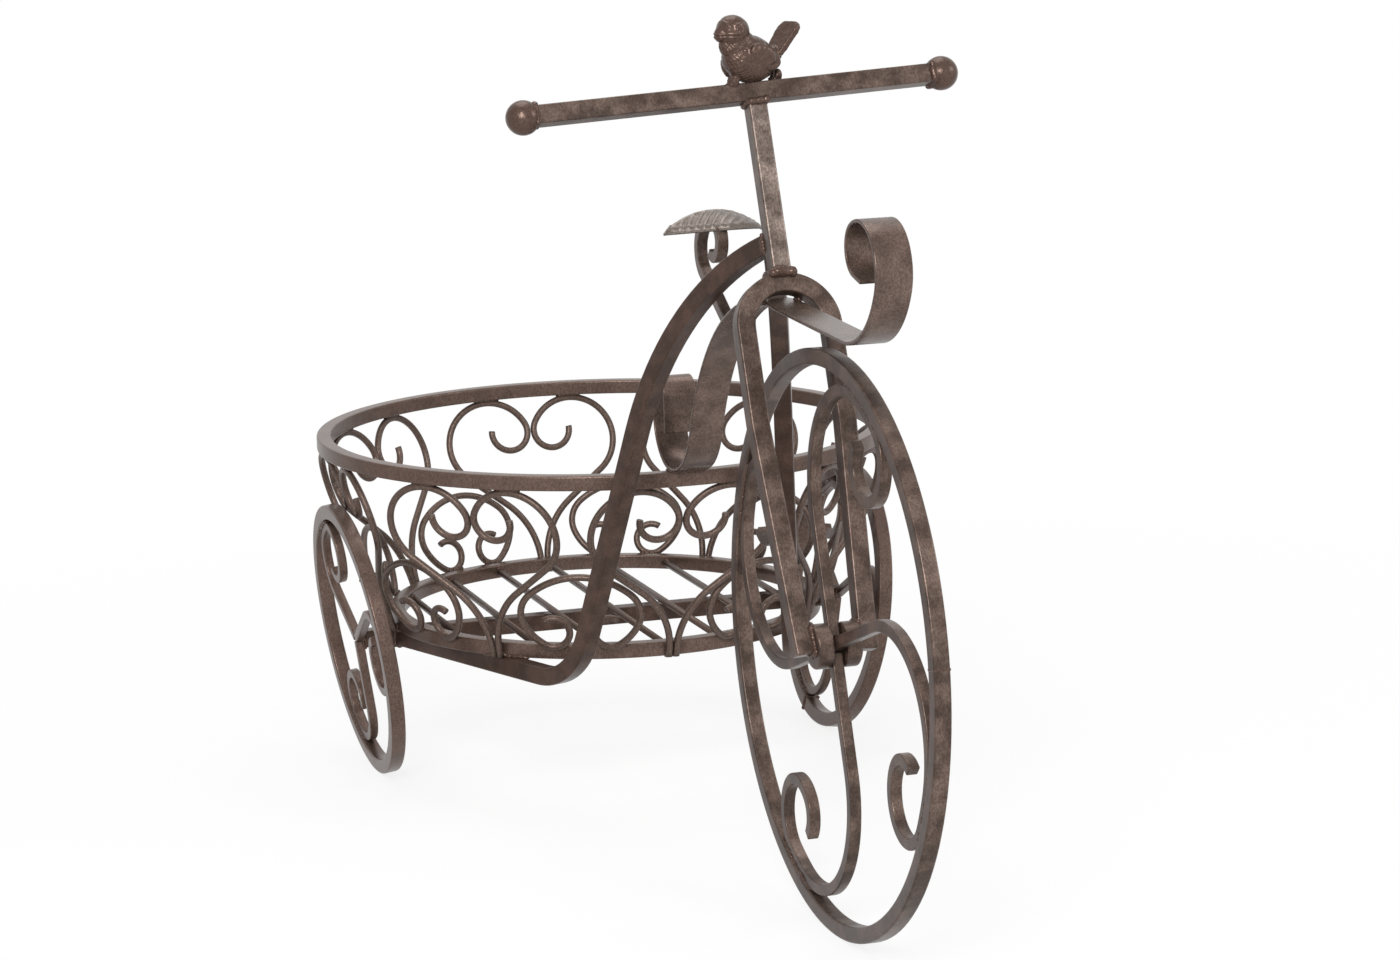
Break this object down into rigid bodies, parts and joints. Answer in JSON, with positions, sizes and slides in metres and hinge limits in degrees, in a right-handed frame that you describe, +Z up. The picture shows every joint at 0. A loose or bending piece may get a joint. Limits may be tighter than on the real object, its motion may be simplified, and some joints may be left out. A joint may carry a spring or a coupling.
{
  "type": "tricycle planter",
  "caption": "Wrought iron tricycle planter: round wire basket between the rear wheels, large scroll-spoked front wheel that turns, small songbird on the crossbar.",
  "frame": {"origin": "under the middle of the whole tricycle's box, on the ground", "axes": "+X to the right seen from the front wheel, -Y forward to the front wheel, +Z up"},
  "size_m": [0.336, 0.7194, 0.4597],
  "materials": {
    "bronze_paint": "satin, dusted with grey gold on its front and upward faces",
    "brown_paint": "satin, reddish brown"
  },
  "bodies": {
    "frame": {"fork": "bronze_paint", "hub_sleeve_left": "bronze_paint", "hub_sleeve_right": "bronze_paint", "steering_column": "bronze_paint", "handlebar": "bronze_paint", "handlebar_ball_left": "bronze_paint", "handlebar_ball_right": "bronze_paint", "bird": "bronze_paint", "strap_scroll": "bronze_paint", "saddle_stem": "bronze_paint", "saddle": "bronze_paint", "frame_bar_left": "brown_paint", "frame_bar_right": "brown_paint", "rear_axle": "brown_paint", "rear_rim_left": "bronze_paint", "rear_rim_right": "bronze_paint", "rear_spoke_left_1": "bronze_paint", "rear_spoke_left_2": "bronze_paint", "rear_spoke_left_3": "bronze_paint", "rear_spoke_right_1": "bronze_paint", "rear_spoke_right_2": "bronze_paint", "rear_spoke_right_3": "bronze_paint", "basket_bottom_ring": "brown_paint", "basket_top_ring": "brown_paint", "basket_floor_rod_1": "bronze_paint", "basket_floor_rod_2": "bronze_paint", "basket_floor_rod_3": "bronze_paint", "basket_floor_rod_4": "bronze_paint", "basket_floor_rod_5": "bronze_paint", "basket_floor_rod_6": "bronze_paint", "basket_floor_rod_7": "bronze_paint", "basket_heart_1": "bronze_paint", "basket_heart_2": "bronze_paint", "basket_heart_3": "bronze_paint", "basket_heart_4": "bronze_paint", "basket_heart_5": "bronze_paint", "basket_heart_6": "bronze_paint", "basket_heart_7": "bronze_paint", "basket_heart_8": "bronze_paint", "basket_scroll_1": "bronze_paint", "basket_scroll_2": "bronze_paint", "basket_scroll_3": "bronze_paint", "basket_scroll_4": "bronze_paint", "basket_scroll_5": "bronze_paint", "basket_scroll_6": "bronze_paint", "basket_scroll_7": "bronze_paint", "basket_scroll_8": "bronze_paint"},
    "front_wheel": {"front_wheel_rim": "bronze_paint", "front_spoke_1": "bronze_paint", "front_spoke_2": "bronze_paint", "front_spoke_3": "bronze_paint", "front_spoke_4": "bronze_paint", "front_axle_pin": "bronze_paint"}
  },
  "joints": [
    {"name": "front_wheel_spin", "type": "hinge", "parent": "frame", "child": "front_wheel", "pos_m": [0, -0.20975, 0.15], "axis": [1, 0, 0], "continuous": true}
  ]
}
